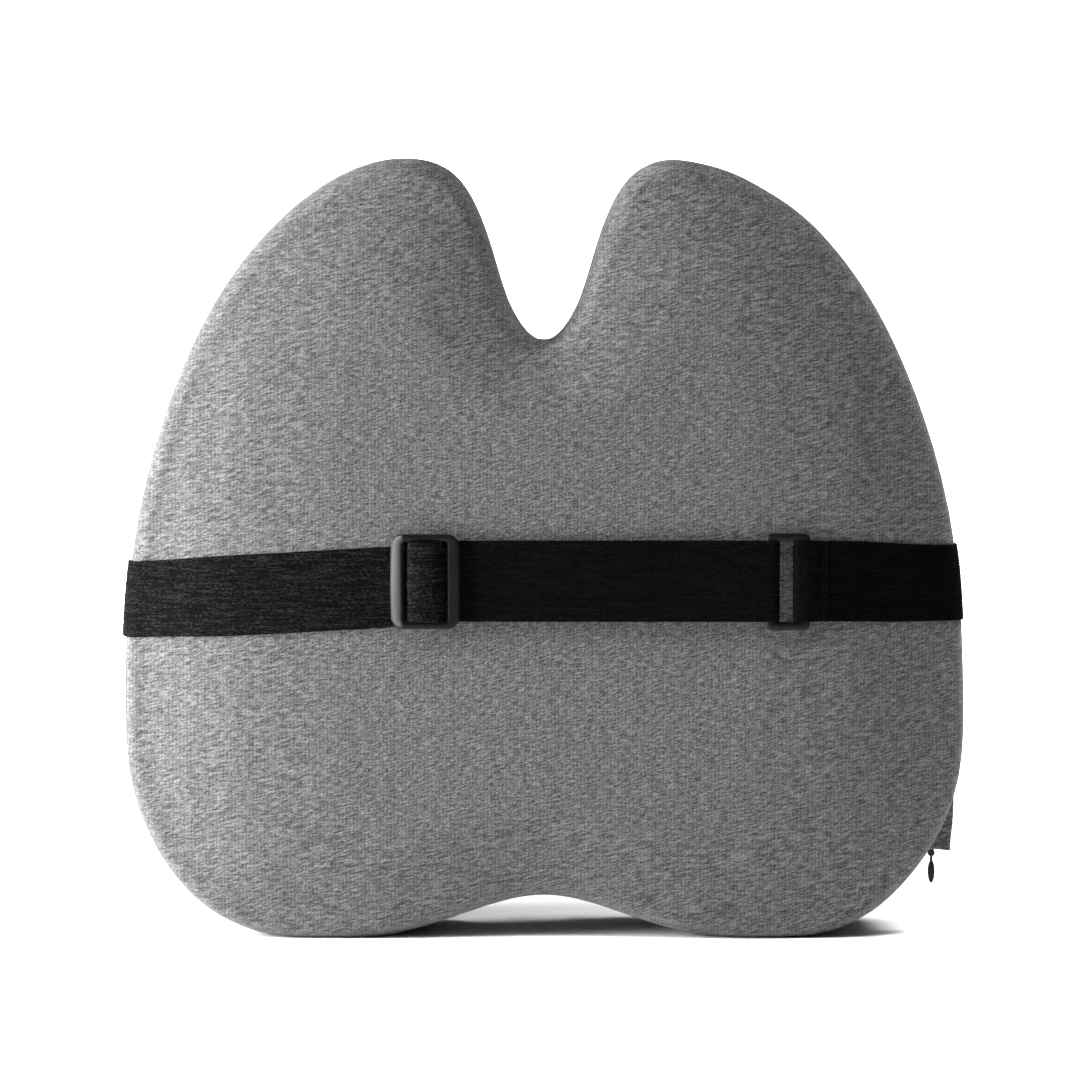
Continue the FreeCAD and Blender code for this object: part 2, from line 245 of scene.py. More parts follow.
def camera_and_light():
    scene = bpy.context.scene
    scene.view_settings.view_transform = "Standard"
    data = bpy.data.cameras.new("camera")
    camera = bpy.data.objects.new("camera", data)
    scene.collection.objects.link(camera)
    distance = 2.4
    pitch = math.radians(3.5)
    target = Vector((-0.0019, BACK, 0.2000))
    camera.location = target + Vector((0, -distance * math.cos(pitch), distance * math.sin(pitch)))
    aim(camera, target)
    data.sensor_width = 36
    data.lens = 36 * distance / 0.5335
    data.clip_end = 50
    scene.camera = camera

    def area(name, place, target, size, power):
        light = bpy.data.lights.new(name, "AREA")
        light.shape = "RECTANGLE"
        light.size, light.size_y = size
        light.energy = power
        item = bpy.data.objects.new(name, light)
        item.location = place
        scene.collection.objects.link(item)
        aim(item, target)
        return item

    area("key", (-0.77, -0.21, 0.27), (-0.05, -0.03, 0.18), (0.38, 0.7), 43.5)
    top = area("top", (0.0, -0.95, 2.25), (0.0, 0.0, 0.1), (1.6, 1.1), 95)
    top.visible_glossy = False
    light = bpy.data.lights.new("floor_fill", "SPOT")
    light.energy = 210
    light.spot_size = math.radians(38)
    light.spot_blend = 1.0
    light.shadow_soft_size = 0.3
    fill = bpy.data.objects.new("floor_fill", light)
    fill.location = (0.78, 0.35, 1.1)
    scene.collection.objects.link(fill)
    aim(fill, (0.33, 0.05, 0.0))

    world = bpy.data.worlds.new("studio")
    scene.world = world
    world.use_nodes = True
    world.node_tree.nodes["Background"].inputs[0].default_value = (1, 1, 1, 1)
    world.node_tree.nodes["Background"].inputs[1].default_value = 0.07

    floor_mat, tree, shader = material("floor")
    shader.inputs["Base Color"].default_value = (0.93, 0.93, 0.93, 1)
    shader.inputs["Roughness"].default_value = 0.6
    floor = new_object("floor", [(-6, -6, 0), (6, -6, 0), (6, 6, 0), (-6, 6, 0)], [(0, 1, 2, 3)])
    floor.data.materials.append(floor_mat)
    wall_mat, tree, shader = material("backdrop")
    shader.inputs["Base Color"].default_value = (1, 1, 1, 1)
    shader.inputs["Emission Color"].default_value = (1, 1, 1, 1)
    shader.inputs["Emission Strength"].default_value = 1.0
    see_through(tree, shader)
    wall = new_object("backdrop", [(-6, 0.45, 0), (6, 0.45, 0), (6, 0.45, 6), (-6, 0.45, 6)], [(0, 1, 2, 3)])
    wall.data.materials.append(wall_mat)
    wall.visible_diffuse = False
    wall.visible_glossy = False


camera_and_light()


# ---------------------------------------------------------------- cushion

FOAM_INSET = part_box("foam_core")[0][2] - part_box("cover_back_panel")[0][2]
ZIP_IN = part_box("zip_coil_back")[0][0]
ZIP_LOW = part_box("zip_tape_back")[0][2]
ZIP_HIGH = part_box("zip_tape_back")[1][2]


def half_body():
    """Left half of the foam's shape and its mirror image, closed, without the zip's groove."""
    source = bpy.data.objects["foam_core"]
    form = bmesh.new()
    form.from_mesh(source.data)
    bmesh.ops.remove_doubles(form, verts=form.verts, dist=1e-6)
    geometry = form.verts[:] + form.edges[:] + form.faces[:]
    bmesh.ops.bisect_plane(form, geom=geometry, plane_co=(0, 0, 0), plane_no=(1, 0, 0), clear_outer=True)
    copy = bmesh.ops.duplicate(form, geom=form.verts[:] + form.edges[:] + form.faces[:])["geom"]
    for vert in [g for g in copy if isinstance(g, bmesh.types.BMVert)]:
        vert.co.x = -vert.co.x
    bmesh.ops.reverse_faces(form, faces=[g for g in copy if isinstance(g, bmesh.types.BMFace)])
    bmesh.ops.remove_doubles(form, verts=form.verts, dist=1e-5)
    mesh = bpy.data.meshes.new("body")
    form.to_mesh(mesh)
    form.free()
    obj = bpy.data.objects.new("body", mesh)
    bpy.context.scene.collection.objects.link(obj)
    return obj


def modified(obj, kind, **settings):
    modifier = obj.modifiers.new(kind.lower(), kind)
    for key, value in settings.items():
        setattr(modifier, key, value)
    return apply_modifiers(obj)


CAP = 3 * MM            # furthest that a point of the cover may be pushed out


def averaged(obj, values, weight, rounds):
    """Values at the points of a mesh, evened out along its edges."""
    edges = np.empty(len(obj.data.edges) * 2, int)
    obj.data.edges.foreach_get("vertices", edges)
    one, other = edges[0::2], edges[1::2]
    count = len(values)
    degree = np.bincount(one, minlength=count) + np.bincount(other, minlength=count)
    weight = np.broadcast_to(weight, (count,))[:, None]
    for _ in range(rounds):
        total = np.stack([np.bincount(one, values[other, k], count) + np.bincount(other, values[one, k], count)
                          for k in range(values.shape[1])], axis=1)
        values = values + weight * (total / degree[:, None] - values) * 0.8
    return values


def eased(obj):
    """The back is slightly crowned and runs into its rounded sides without a line."""
    facing = smoothstep(-normals_of(obj)[:, 1], 0.72, 0.9)
    points = points_of(obj)
    depth = averaged(obj, points[:, 1:2], facing, 160)
    crown = 3.5 * MM * np.clip(np.abs(points[:, 0]) / (150 * MM), 0, 1.2) ** 2
    points[:, 1] = depth[:, 0] + crown * smoothstep(-normals_of(obj)[:, 1], 0.3, 0.9)
    set_points(obj, points)


def stuffed(obj):
    """Foam pushes the cover out against its seam: cloth under pressure, capped at the foam's own size."""
    full = points_of(obj)
    start = full - normals_of(obj) * 2.4 * MM
    set_points(obj, start)
    held = obj.vertex_groups.new(name="held")
    for index in np.nonzero(np.abs(full[:, 1] - SEAM_Y) < 2.2 * MM)[0]:
        held.add([int(index)], 1.0, "REPLACE")
    cloth = obj.modifiers.new("cloth", "CLOTH")
    cloth.settings.quality = 4
    cloth.settings.mass = 0.3
    cloth.settings.tension_stiffness = 12
    cloth.settings.compression_stiffness = 12
    cloth.settings.shear_stiffness = 5
    cloth.settings.bending_stiffness = 0.6
    cloth.settings.use_pressure = True
    cloth.settings.uniform_pressure_force = 4
    cloth.settings.effector_weights.gravity = 0
    cloth.settings.vertex_group_mass = "held"
    cloth.point_cache.frame_start = 1
    cloth.point_cache.frame_end = 20
    for number in range(1, 21):
        bpy.context.scene.frame_set(number)
    apply_modifiers(obj)
    bpy.context.scene.frame_set(1)
    obj.vertex_groups.clear()
    moved = averaged(obj, points_of(obj) - start, 1.0, 70)
    size = np.linalg.norm(moved, axis=1)
    moved *= np.minimum(1, CAP / np.maximum(size, 1e-9))[:, None]
    set_points(obj, full + 0.6 * moved)


def widened(points):
    """The cover stands a little fuller than the foam round its waist and at its feet, which reach the floor."""
    x, y, z = points.T
    wide = np.abs(x)
    low = 2.5 * MM * np.exp(-((z - 22 * MM) / (26 * MM)) ** 2) * smoothstep(wide, 95 * MM, 170 * MM)
    waist = np.exp(-((z - 88 * MM) / (60 * MM)) ** 2) * smoothstep(wide, 95 * MM, 190 * MM)
    waist += 0.5 * np.exp(-((z - 230 * MM) / (60 * MM)) ** 2) * smoothstep(wide, 95 * MM, 170 * MM)
    points[:, 0] = x + np.where(x > 0, 0.3 * low + 2.4 * MM * waist, -low - 1.5 * MM * waist)
    lobe = smoothstep(x, 55 * MM, 85 * MM) * (1 - smoothstep(x, 105 * MM, 140 * MM))
    z = z - 2.2 * MM * lobe * smoothstep(z, 300 * MM, 380 * MM)
    points[:, 2] = z
    points[:, 2] = z - points[:, 2].min() * (1 - smoothstep(z, 0, 40 * MM))
    return points


def make_body():
    """The stuffed shape of the whole cushion: the foam's form, filled out to the cover's surface."""
    body = half_body()
    modified(body, "REMESH", mode="VOXEL", voxel_size=0.004)
    modified(body, "SMOOTH", factor=0.5, iterations=4)
    set_points(body, points_of(body) + normals_of(body) * (FOAM_INSET + 0.05 * MM))
    eased(body)
    stuffed(body)
    modified(body, "SUBSURF", levels=1, render_levels=1)
    points = widened(points_of(body))
    points[:, 1] = np.maximum(points[:, 1], BACK)
    points[:, 2] = np.maximum(points[:, 2], 0.0)
    set_points(body, points)
    return body


def zip_valley(points):
    """The cover sinks beside the zip, which runs straight where the side bulges."""
    x, y, z = points.T
    near = 1 - smoothstep(np.abs(y - ZIP_Y), 4.5 * MM, 15 * MM)
    along = smoothstep(z, ZIP_LOW - 14 * MM, ZIP_LOW + 12 * MM) * (1 - smoothstep(z, ZIP_HIGH - 22 * MM, ZIP_HIGH + 14 * MM))
    floor = ZIP_IN + 11.3 * MM
    sunk = np.where(x > floor, floor + (x - floor) * 0.15, x)
    weight = near * along * (x > 0)
    points[:, 0] = x + (sunk - x) * weight
    return points


def seam_shift(points):
    """The seam creeps towards the back along the lower left side and under the right foot."""
    x, y, z = points.T
    left = 11 * MM * smoothstep(-x, 40 * MM, 90 * MM) * (1 - smoothstep(z, 60 * MM, 150 * MM))
    foot = 25 * MM * np.exp(-((x - 72 * MM) / (36 * MM)) ** 2) * (1 - smoothstep(z, 20 * MM, 45 * MM))
    return np.maximum(left, foot)


def open_zip(form):
    """Cuts the slot that the zip fills; the folded edges beside the zip lie over its rim."""
    half, low, high = 4.0 * MM, ZIP_LOW - 4.5 * MM, ZIP_HIGH + 3.0 * MM
    cuts = [((0, ZIP_Y - half, 0), (0, 1, 0)), ((0, ZIP_Y + half, 0), (0, 1, 0)), ((0, 0, low), (0, 0, 1)),
            ((0, 0, high), (0, 0, 1))]
    for place, normal in cuts:
        geometry = form.verts[:] + form.edges[:] + form.faces[:]
        bmesh.ops.bisect_plane(form, geom=geometry, plane_co=place, plane_no=normal)
    middles = [(face, face.calc_center_median()) for face in form.faces]
    slot = [face for face, m in middles if m.x > 0.15 and abs(m.y - ZIP_Y) < half and low < m.z < high]
    bmesh.ops.delete(form, geom=slot, context="FACES")


def panel(body, name, front):
    """One side of the cover up to the seam, with its edge turned in."""
    obj = body.copy()
    obj.data = body.data.copy()
    obj.name = name
    bpy.context.scene.collection.objects.link(obj)
    points = points_of(obj)
    points[:, 1] += seam_shift(points)
    set_points(obj, points)
    form = bmesh.new()
    form.from_mesh(obj.data)
    for offset in (-3.2, -1.9, -1.1, -0.55, -0.2, 0.2, 0.55, 1.1, 1.9, 3.2):
        geometry = form.verts[:] + form.edges[:] + form.faces[:]
        bmesh.ops.bisect_plane(form, geom=geometry, plane_co=(0, SEAM_Y + offset * MM, 0), plane_no=(0, 1, 0))
    geometry = form.verts[:] + form.edges[:] + form.faces[:]
    side = -1 if front else 1
    bmesh.ops.bisect_plane(form, geom=geometry, plane_co=(0, SEAM_Y, 0), plane_no=(0, side, 0), clear_outer=True)
    if front:
        open_zip(form)
    form.to_mesh(obj.data)
    form.free()
    points = points_of(obj)
    near = np.clip(1 - np.abs(points[:, 1] - SEAM_Y) / (2.6 * MM), 0, 1)
    sink = 1.25 * MM * (1 - np.sqrt(np.clip(1 - near ** 2, 0, 1)))
    points[:, 1] -= seam_shift(points)
    set_points(obj, points)
    normal = normals_of(obj)
    normal[:, 1] *= 0.3
    normal /= np.maximum(np.linalg.norm(normal, axis=1), 1e-6)[:, None]
    set_points(obj, points - normal * sink[:, None])
    modified(obj, "SOLIDIFY", thickness=0.9 * MM, offset=-1)
    return obj


body = make_body()
set_points(body, zip_valley(points_of(body)))
back_panel = panel(body, "cover_back", False)
front_panel = panel(body, "cover_front", True)
for piece, cad in ((back_panel, "cover_back_panel"), (front_panel, "cover_front_panel")):
    piece.data.materials.clear()
    piece.data.materials.append(KNIT)
    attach(piece, ROOT)
    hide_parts(cad)


def layer_piece(name, inset, cad, mat):
    """A copy of the body, inset, with the zip's groove cut out."""
    obj = body.copy()
    obj.data = body.data.copy()
    obj.name = name
    bpy.context.scene.collection.objects.link(obj)
    set_points(obj, points_of(obj) - normals_of(obj) * inset)
    x, y, z = points_of(obj).T
    inside = (np.abs(y - ZIP_Y) < 7 * MM) & (z > ZIP_LOW - 5 * MM) & (z < ZIP_HIGH + 5 * MM) & (x > ZIP_IN - 4.2 * MM)
    points = points_of(obj)
    points[inside, 0] = ZIP_IN - 3.7 * MM
    set_points(obj, points)
    obj.data.materials.clear()
    obj.data.materials.append(mat)
    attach(obj, ROOT)
    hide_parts(cad)
    return obj


def foam_material():
    mat, tree, shader = material("foam")
    cells = node(tree, "ShaderNodeTexVoronoi", Scale=1.0)
    tree.links.new(mapped(tree, (1300, 1300, 1300)), cells.inputs["Vector"])
    tone = ramp(tree, cells.outputs["Distance"], [(0.0, (0.62, 0.56, 0.42, 1)), (0.5, (0.8, 0.75, 0.62, 1))])
    tree.links.new(tone, shader.inputs["Base Color"])
    shader.inputs["Roughness"].default_value = 0.95
    bump(tree, shader, cells.outputs["Distance"], 0.4, 0.0003)
    return mat


def liner_material():
    mat, tree, shader = material("liner")
    wales = node(tree, "ShaderNodeTexWave", Scale=1.0, Distortion=1.0)
    tree.links.new(mapped(tree, (300, 300, 300)), wales.inputs["Vector"])
    tone = ramp(tree, wales.outputs["Fac"], [(0.0, grey(0.62)), (1.0, grey(0.82))])
    tree.links.new(tone, shader.inputs["Base Color"])
    shader.inputs["Roughness"].default_value = 0.95
    bump(tree, shader, wales.outputs["Fac"], 0.3, 0.0002)
    return mat


foam = layer_piece("foam", 3.4 * MM, "foam_core", foam_material())
layer_piece("liner", 2.7 * MM, "inner_liner", liner_material())
bpy.data.objects.remove(body)


# ---------------------------------------------------------------- strap

RIBS = 25
COVER = BVHTree.FromPolygons([v.co for v in back_panel.data.vertices],
                             [p.vertices for p in back_panel.data.polygons])


def rounded_path(points, radius):
    """Polyline with every corner replaced by a short curve, then points about 1.2 mm apart."""
    corners = [np.array(p, float) * MM for p in points]
    line = [corners[0]]
    for before, corner, after in zip(corners, corners[1:], corners[2:]):
        back, ahead = before - corner, after - corner
        reach = min(radius * MM, 0.48 * np.linalg.norm(back), 0.48 * np.linalg.norm(ahead))
        start = corner + back / np.linalg.norm(back) * reach
        end = corner + ahead / np.linalg.norm(ahead) * reach
        for t in np.linspace(0, 1, 9):
            line.append((1 - t) ** 2 * start + 2 * t * (1 - t) * corner + t ** 2 * end)
    line.append(corners[-1])
    line = np.array(line)
    lengths = np.concatenate([[0], np.cumsum(np.linalg.norm(np.diff(line, axis=0), axis=1))])
    keep = np.concatenate([[True], np.diff(lengths) > 1e-9])
    line, lengths = line[keep], lengths[keep]
    count = max(int(round(lengths[-1] / (1.1 * MM))), 2)
    at = np.linspace(0, lengths[-1], count + 1)
    return np.stack([np.interp(at, lengths, line[:, k]) for k in range(2)], axis=1)


def side_points(side):
    """From the flat of the back round to the seam, in mm."""
    stand = 1.0
    flat, crown, bend = 145.0, 130.0, 24.0
    corner_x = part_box("cover_back_panel")[1][0] / MM - 0.4 - bend
    centre_y = BACK / MM + crown
    across = corner_x - flat
    corner_y = centre_y - math.sqrt((crown - bend) ** 2 - across ** 2)
    turn = math.asin(across / (crown - bend))
    points = []
    for angle in np.linspace(0, turn, 7)[1:]:
        points.append((side * (flat + (crown + stand) * math.sin(angle)), centre_y - (crown + stand) * math.cos(angle)))
    for angle in np.linspace(turn, math.pi / 2, 8)[1:]:
        points.append((side * (corner_x + (bend + stand) * math.sin(angle)), corner_y - (bend + stand) * math.cos(angle)))
    wall = corner_x + bend + stand
    points.append((side * wall, SEAM_Y / MM - 2.6))
    points.append((side * (wall - 2.6), SEAM_Y / MM + 0.2))
    return points


def hugged(line, across, z):
    """How far each point of a strap row has to move along its normal to lie on the cover."""
    shift = np.zeros(z.shape)
    for i in range(z.shape[0]):
        way = Vector((across[i, 0], across[i, 1], 0))
        for k in range(0, z.shape[1], 10):
            start = Vector((line[i, 0], line[i, 1], z[i, k])) + way * 0.012
            hit = COVER.ray_cast(start, -way, 0.03)[0]
            if hit is not None:
                gap = (hit - Vector((line[i, 0], line[i, 1], z[i, k]))).dot(way)
                shift[i, k] = gap + STRAP_THICK / 2 + 0.2 * MM
        shift[i] = np.interp(np.arange(z.shape[1]), np.arange(0, z.shape[1], 10), shift[i, ::10])
    kernel = np.ones(9) / 9
    for k in range(z.shape[1]):
        padded = np.pad(shift[:, k], 4, mode="edge")
        shift[:, k] = np.convolve(padded, kernel, mode="valid")
    return shift


def band(name, line, phase, middle=None, half=None, hug=None, ends=(False, False)):
    """Elastic strip along a path: knitted ribs run along it and its edges are rounded."""
    steps = np.gradient(line, axis=0)
    steps /= np.linalg.norm(steps, axis=1)[:, None]
    across = np.stack([steps[:, 1], -steps[:, 0]], axis=1)
    travel = np.concatenate([[0], np.cumsum(np.linalg.norm(np.diff(line, axis=0), axis=1))])[:, None] + phase
    wide = np.linspace(-1, 1, RIBS * 4 + 1)[None, :]
    middle = np.full(len(line), STRAP_MID) if middle is None else middle
    half = np.full(len(line), STRAP_HALF) if half is None else half
    z = middle[:, None] + half[:, None] * wide
    wave = 0.5 * np.sin(2 * math.pi * travel / (4.6 * MM) + 2.5 * wide) + 0.3 * np.sin(2 * math.pi * travel / (7.9 * MM))
    rib = np.cos(math.pi * RIBS * wide + wave)
    knot = np.sin(2 * math.pi * travel / (2.4 * MM) + math.pi * np.floor(wide * RIBS / 2 + 0.5))
    fall = np.clip((1 - np.abs(wide)) / 0.035, 0, 1) ** 0.5
    lift = 0.5 * STRAP_THICK * (0.3 + 0.7 * fall) + (0.17 * rib + 0.09 * knot) * MM * fall
    centre = np.repeat(line[:, None, :], wide.shape[1], axis=1)
    if hug is not None:
        centre = centre + across[:, None, :] * (hugged(line, across, z) * hug[:, None])[:, :, None]
    faces_at = []
    for sign in (1, -1):
        spot = centre + across[:, None, :] * (lift * sign)[:, :, None]
        side = np.concatenate([spot, z[:, :, None]], axis=2)
        faces_at.append(side if sign == 1 else side[:, ::-1])
    rings = np.concatenate(faces_at, axis=1)
    count = rings.shape[1]
    verts = rings.reshape(-1, 3)
    index = np.arange(len(line) * count).reshape(len(line), count)
    a, b = index[:-1], np.roll(index[:-1], -1, axis=1)
    c, d = np.roll(index[1:], -1, axis=1), index[1:]
    faces = np.stack([a, d, c, b], axis=2).reshape(-1, 4).tolist()
    half_ring = count // 2
    for wanted, row, flip in ((ends[0], 0, False), (ends[1], len(line) - 1, True)):
        if wanted:
            for k in range(half_ring - 1):
                quad = [row * count + k, row * count + k + 1, row * count + count - 2 - k, row * count + count - 1 - k]
                faces.append(quad[::-1] if flip else quad)
    return new_object(name, verts, faces), float(travel[-1, 0])


def elastic_material(name, tones):
    mat, tree, shader = material(name)
    loops = noise(tree, mapped(tree, (620, 620, 1500)), 1.0, 2.0, 0.6)
    runs = noise(tree, mapped(tree, (60, 60, 900)), 1.0, 2.0, 0.5)
    mix = maths(tree, "ADD", maths(tree, "MULTIPLY", loops, 0.65), maths(tree, "MULTIPLY", runs, 0.35))
    tone = ramp(tree, mix, [(place, grey(value)) for place, value in zip((0.41, 0.5, 0.6), tones)])
    tree.links.new(tone, shader.inputs["Base Color"])
    shader.inputs["Roughness"].default_value = 0.85
    shader.inputs["Specular IOR Level"].default_value = 0.03
    bump(tree, shader, loops, 1.0, 0.0009)
    return mat


ELASTIC = elastic_material("black_elastic", (0.0003, 0.0007, 0.0022))
ELASTIC_PAINTED_LIT = elastic_material("black_elastic_painted_lit", (0.0004, 0.0015, 0.0095))   # lighter copy of the same elastic: painted light on the left run, which faces the key lamp
LAYER = [BACK / MM - 0.3 - 0.65 - 1.6 * k for k in range(3)]
OVER_RING = RING[0][1] / MM - 0.3 - 0.65
OVER_BAR = (GLIDE[0][1] + GLIDE[1][1]) / 2 / MM - 0.9 - 0.95
CROSS = 106.0


def dressed(piece, cad, mat=ELASTIC):
    piece.data.materials.append(mat)
    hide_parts(cad)
    return piece


def left_centre(x):
    """Height of the strap's middle: it runs slightly downwards to the left of the adjuster."""
    drop = (2.8 * MM + (-72 * MM - x) * 0.058)
    return STRAP_MID - drop * smoothstep(-x, 68 * MM, 76 * MM)


def main_strap():
    top = OVER_BAR - 1.6
    left = [p for p in side_points(-1)][::-1]
    line = rounded_path(left + [(-145, LAYER[0]), (-69.0, LAYER[0]), (-66.0, top + 1.6), (-61.6, top + 0.1),
                                (-57.0, top - 0.2), (-52.6, top + 0.2), (-48.6, LAYER[2]), (-41, LAYER[2])], 3.0)
    x = line[:, 0]
    half = STRAP_HALF * (1 - 0.05 * smoothstep(-x, 150 * MM, 206 * MM))
    hug = 1 - smoothstep(x, -100 * MM, -80 * MM)
    piece, phase = band("strap_left", line, 0.0, left_centre(x), half, hug, (True, False))
    # The left run takes the lighter copy of the elastic: painted light where the key lamp falls on it.
    dressed(piece, "strap_main", ELASTIC_PAINTED_LIT)
    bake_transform(piece)
    line = rounded_path([(-41, LAYER[2]), (CROSS, OVER_RING)], 1.0)
    piece, phase = band("strap_front", line, phase)
    dressed(piece, "strap_main")
    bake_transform(piece)
    turn = RING[0][0] / MM + 4.8 + 0.95
    line = rounded_path([(CROSS, OVER_RING), (turn, OVER_RING), (turn, LAYER[0]), (CROSS, LAYER[0])], 2.3)
    piece, phase = band("strap_loop", line, phase)
    dressed(piece, "strap_main")
    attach(piece, "ring")
    line = rounded_path([(CROSS, LAYER[0]), (-30, LAYER[0]), (-36, LAYER[1]), (-41, LAYER[1])], 3.0)
    piece, phase = band("strap_return", line, phase)
    dressed(piece, "strap_main")
    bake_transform(piece)
    bar_right = -55.8 + 0.95
    bar_left = -60.8 - 0.95
    line = rounded_path([(-41, LAYER[1]), (-50.5, LAYER[1]), (bar_right, GLIDE[1][1] / MM - 0.5),
                         (bar_right, OVER_BAR), (bar_left, OVER_BAR), (bar_left, LAYER[1] - 0.3),
                         (-59.8, LAYER[0]), (-38.6, LAYER[0])], 1.6)
    piece, phase = band("strap_tail", line, phase, ends=(False, True))
    dressed(piece, "strap_main")
    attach(piece, "adjuster")


def right_strap():
    turn = RING[1][0] / MM - 4.8 - 2.6
    line = rounded_path([(140.6, LAYER[1]), (135.5, LAYER[1]), (131.6, OVER_RING), (turn, OVER_RING),
                         (turn, LAYER[0]), (145, LAYER[0])] + side_points(1), 2.3)
    x = line[:, 0]
    half = STRAP_HALF * (1 - 0.05 * smoothstep(x, 150 * MM, 206 * MM))
    middle = STRAP_MID - 2.3 * MM * smoothstep(x, 132 * MM, 206 * MM)
    piece, phase = band("strap_right", line, 0.3, middle, half, smoothstep(x, 142 * MM, 156 * MM), (True, True))
    dressed(piece, "strap_right")
    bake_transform(piece)


main_strap()
right_strap()


# ---------------------------------------------------------------- adjuster and ring

def plastic_material(name, tone, rough):
    mat, tree, shader = material(name)
    grain = noise(tree, mapped(tree, (1800, 1800, 1800)), 1.0, 2.0, 0.5)
    haze = noise(tree, mapped(tree, (90, 90, 90)), 1.0, 3.0, 0.6)
    colour = ramp(tree, haze, [(0.3, grey(tone)), (0.7, grey(tone * 1.5))])
    tree.links.new(colour, shader.inputs["Base Color"])
    roughness = ramp(tree, haze, [(0.3, grey(rough)), (0.7, grey(rough * 1.25))])
    tree.links.new(roughness, shader.inputs["Roughness"])
    shader.inputs["Specular IOR Level"].default_value = 0.11
    bump(tree, shader, grain, 0.12, 0.0001)
    return mat


PLASTIC = plastic_material("black_plastic", 0.002, 0.36)


def corner_loop(left, right, low, high, radius, arc=10, straight=9):
    """Points round a rounded rectangle, always the same number."""
    points = []
    centres = [(right - radius, high - radius, 0), (left + radius, high - radius, 90),
               (left + radius, low + radius, 180), (right - radius, low + radius, 270)]
    for cx, cz, start in centres:
        for step in range(arc + 1):
            angle = math.radians(start + 90 * step / arc)
            points.append((cx + radius * math.cos(angle), cz + radius * math.sin(angle)))
        nxt = centres[(start // 90 + 1) % 4]
        angle = math.radians(start + 90)
        ahead = (nxt[0] + radius * math.cos(angle), nxt[1] + radius * math.sin(angle))
        last = points[-1]
        for step in range(1, straight + 1):
            t = step / (straight + 1)
            points.append((last[0] + (ahead[0] - last[0]) * t, last[1] + (ahead[1] - last[1]) * t))
    return np.array(points)


def ring_frame(name, cad_box, side_bar, end_bar, radius, bow, power, slope):
    """Moulded frame with rounded bars all round one window; its left bar may lean back towards the cushion."""
    (left, back_low, low), (right, back_high, high) = cad_box
    outer = corner_loop(left, right, low, high, radius * MM)
    inner = corner_loop(left + side_bar * MM, right - side_bar * MM, low + end_bar * MM, high - end_bar * MM, 1.4 * MM)
    middle_z = (low + high) / 2
    half = (high - low) / 2
    bulge = bow * MM * (1 - ((outer[:, 1] - middle_z) / half) ** 2)
    outer[:, 0] += np.where(outer[:, 0] < (left + right) / 2, -bulge, bulge)
    thick = (back_high - back_low) / 2
    mid_y = (back_high + back_low) / 2
    rounds = 20
    verts = []
    for k in range(rounds):
        angle = 2 * math.pi * k / rounds
        c, s = math.cos(angle), math.sin(angle)
        flat = math.copysign(abs(c) ** power, c)
        deep = math.copysign(abs(s) ** power, s)
        ring = outer * (0.5 + 0.5 * flat) + inner * (0.5 - 0.5 * flat)
        for x, z in ring:
            away = min(max((left + side_bar * MM - x) / (side_bar * MM), 0.0), 1.0)
            lean = slope * MM * away * (1.0 if deep > 0 else 0.75)
            verts.append((x, mid_y - deep * thick + lean, z))
    count = len(outer)
    faces = []
    for k in range(rounds):
        for i in range(count):
            a = k * count + i
            b = k * count + (i + 1) % count
            c = ((k + 1) % rounds) * count + (i + 1) % count
            d = ((k + 1) % rounds) * count + i
            faces.append((a, b, c, d))
    return new_object(name, verts, faces)


def rod(name, low, high, half_x, half_y, x, y, power=0.6, steps=24, rounds=16, swell=None):
    """Rounded bar standing along Z."""
    verts = []
    for i in range(steps + 1):
        z = low + (high - low) * i / steps
        size = 1.0 if swell is None else swell(i / steps)
        for k in range(rounds):
            angle = 2 * math.pi * k / rounds
            c, s = math.cos(angle), math.sin(angle)
            verts.append((x + math.copysign(abs(c) ** power, c) * half_x * size,
                          y + math.copysign(abs(s) ** power, s) * half_y * size, z))
    faces = []
    for i in range(steps):
        for k in range(rounds):
            a = i * rounds + k
            b = i * rounds + (k + 1) % rounds
            faces.append((a, b, b + rounds, a + rounds))
    faces.append(tuple(range(rounds))[::-1])
    faces.append(tuple(range(steps * rounds, (steps + 1) * rounds)))
    return new_object(name, verts, faces)


def joined(name, parts):
    """Several meshes as one piece."""
    form = bmesh.new()
    for part in parts:
        form.from_mesh(part.data)
    mesh = bpy.data.meshes.new(name)
    form.to_mesh(mesh)
    form.free()
    for part in parts:
        bpy.data.objects.remove(part)
    obj = bpy.data.objects.new(name, mesh)
    bpy.context.scene.collection.objects.link(obj)
    mesh.polygons.foreach_set("use_smooth", [True] * len(mesh.polygons))
    return obj


def hardware():
    frame_part = ring_frame("glide_frame", GLIDE, 5.6, 3.6, 5.4, 0.5, 0.6, 3.2)
    bar_y = (GLIDE[0][1] + GLIDE[1][1]) / 2
    bar = rod("glide_bar", STRAP_MID - 20.8 * MM, STRAP_MID + 20.8 * MM, 2.5 * MM, 0.9 * MM, -58.3 * MM, bar_y)
    glide = joined("adjuster_frame", [frame_part, bar])
    glide.data.materials.append(PLASTIC)
    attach(glide, "adjuster")
    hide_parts("tri_glide")
    (left, back, low), (right, front, high) = RING
    grown = ((left - 0.5 * MM, back, low - 1.0 * MM), (right + 0.5 * MM, front, high + 0.3 * MM))
    ring = ring_frame("loop_ring", grown, 4.8, 4.4, 3.0, 0.2, 0.8, 0.6)
    ring.data.materials.append(PLASTIC)
    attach(ring, "ring")
    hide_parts("strap_ring")


hardware()


# ---------------------------------------------------------------- stitches

def thread_material():
    mat, tree, shader = material("thread")
    twist = noise(tree, mapped(tree, (2500, 2500, 5000)), 1.0, 2.0, 0.6)
    tone = ramp(tree, twist, [(0.3, grey(0.0012)), (0.7, grey(0.005))])
    tree.links.new(tone, shader.inputs["Base Color"])
    shader.inputs["Roughness"].default_value = 0.8
    shader.inputs["Specular IOR Level"].default_value = 0.06
    bump(tree, shader, twist, 0.4, 0.0001)
    return mat


THREAD = thread_material()


